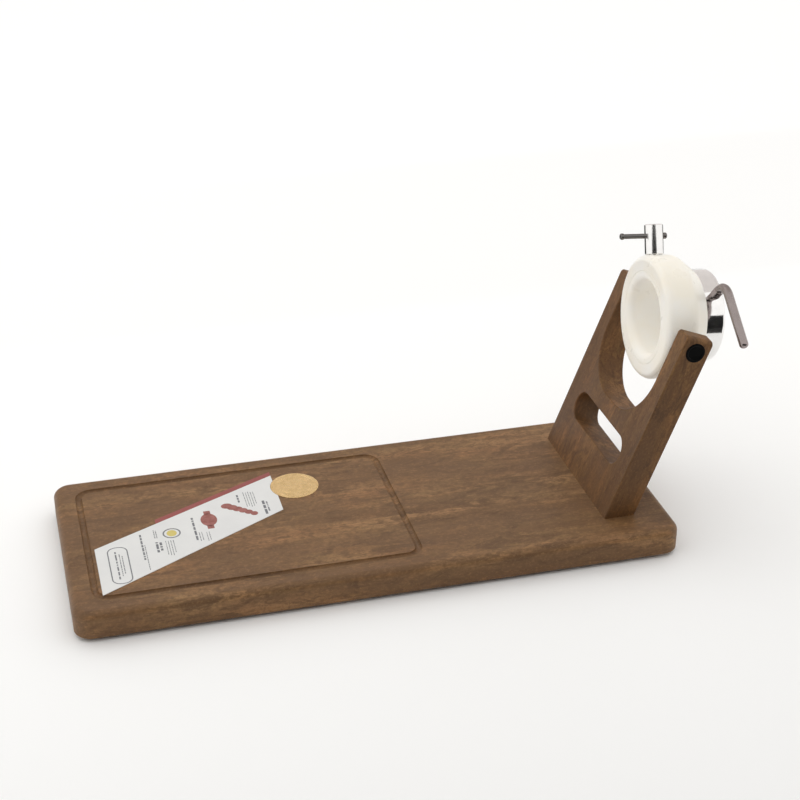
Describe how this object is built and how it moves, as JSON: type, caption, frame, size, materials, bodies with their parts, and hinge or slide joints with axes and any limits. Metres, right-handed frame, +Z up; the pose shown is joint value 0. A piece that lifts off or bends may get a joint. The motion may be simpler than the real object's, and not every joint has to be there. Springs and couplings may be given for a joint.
{
  "type": "ham holder stand",
  "caption": "Wooden ham holder stand: grooved base board, leaning fork, and a tilting nylon head with a turning steel ring and clamp lever.",
  "frame": {"origin": "on the surface the feet stand on, under the middle of the whole object's bounding box", "axes": "+X along the board towards the fork, +Y across the board, +Z up"},
  "size_m": [0.5334, 0.198, 0.2359],
  "materials": {
    "wood": "oiled hardwood, open grain",
    "dowel_wood": "plain beech",
    "rubber": "matt",
    "zinc_steel": "zinc plated",
    "white_nylon": "satin, slightly translucent",
    "black_plastic": "satin",
    "bearing_plastic": "satin",
    "polished_steel": "mirror polished",
    "satin_steel": "satin",
    "dark_steel": "dark, satin",
    "brass": "machined",
    "paper": "coated paper",
    "red_paper": "coated paper",
    "gold_foil": "embossed foil"
  },
  "bodies": {
    "stand": {"base_board": "wood", "rubber_feet": "rubber", "foot_screws": "zinc_steel", "fork_upright": "wood", "fork_screws": "zinc_steel", "fork_dowels": "dowel_wood", "pivot_bushings": "bearing_plastic", "spacer_washers": "bearing_plastic", "pivot_caps": "black_plastic", "paper_label": "paper", "red_strip": "red_paper", "foil_seal": "gold_foil"},
    "head": {"head_housing": "white_nylon", "pivot_bolts": "satin_steel", "pivot_inserts": "brass", "brake_insert": "brass"},
    "brake_shoe": {"brake_pad": "brass"},
    "brake_handle": {"brake_screw": "polished_steel"},
    "sliding_bar": {"tommy_bar": "dark_steel", "tommy_knobs": "dark_steel"},
    "turning_head": {"turning_core": "white_nylon", "steel_ring": "polished_steel", "ring_screws": "dark_steel"},
    "clamp_foot": {"clamp_pad": "satin_steel"},
    "clamp_handle": {"clamp_lever": "satin_steel"}
  },
  "joints": [
    {"name": "head_tilt", "type": "hinge", "parent": "stand", "child": "head", "pos_m": [0.22439, 0, 0.16494], "axis": [0, 1, 0], "range_deg": [-50, 20]},
    {"name": "head_turn", "type": "hinge", "parent": "head", "child": "turning_head", "pos_m": [0.22439, 0, 0.16494], "axis": [0.9969, 0, -0.0785], "continuous": true},
    {"name": "brake_feed", "type": "slide", "parent": "head", "child": "brake_shoe", "axis": [-0.0717, -0.4067, -0.9107], "range_m": [-0.00251, 0.00001]},
    {"name": "brake_turn", "type": "hinge", "parent": "brake_shoe", "child": "brake_handle", "pos_m": [0.2238, 0.0204, 0.21094], "axis": [-0.0717, -0.4067, -0.9107], "range_deg": [-720, 0]},
    {"name": "bar_slide", "type": "slide", "parent": "brake_handle", "child": "sliding_bar", "axis": [0.9969, 0, -0.0785], "range_m": [0, 0.0181]},
    {"name": "clamp_feed", "type": "slide", "parent": "turning_head", "child": "clamp_foot", "axis": [-0.0601, 0.6428, -0.7637], "range_m": [-0.00751, 0.00251]},
    {"name": "clamp_turn", "type": "hinge", "parent": "clamp_foot", "child": "clamp_handle", "pos_m": [0.25914, -0.02411, 0.19102], "axis": [-0.0601, 0.6428, -0.7637], "range_deg": [-2160, 720]}
  ],
  "couplings": [
    {"joint": "brake_feed", "follows": "brake_turn", "m_per_rad": 0.00019894},
    {"joint": "clamp_feed", "follows": "clamp_turn", "m_per_rad": 0.00019894}
  ]
}
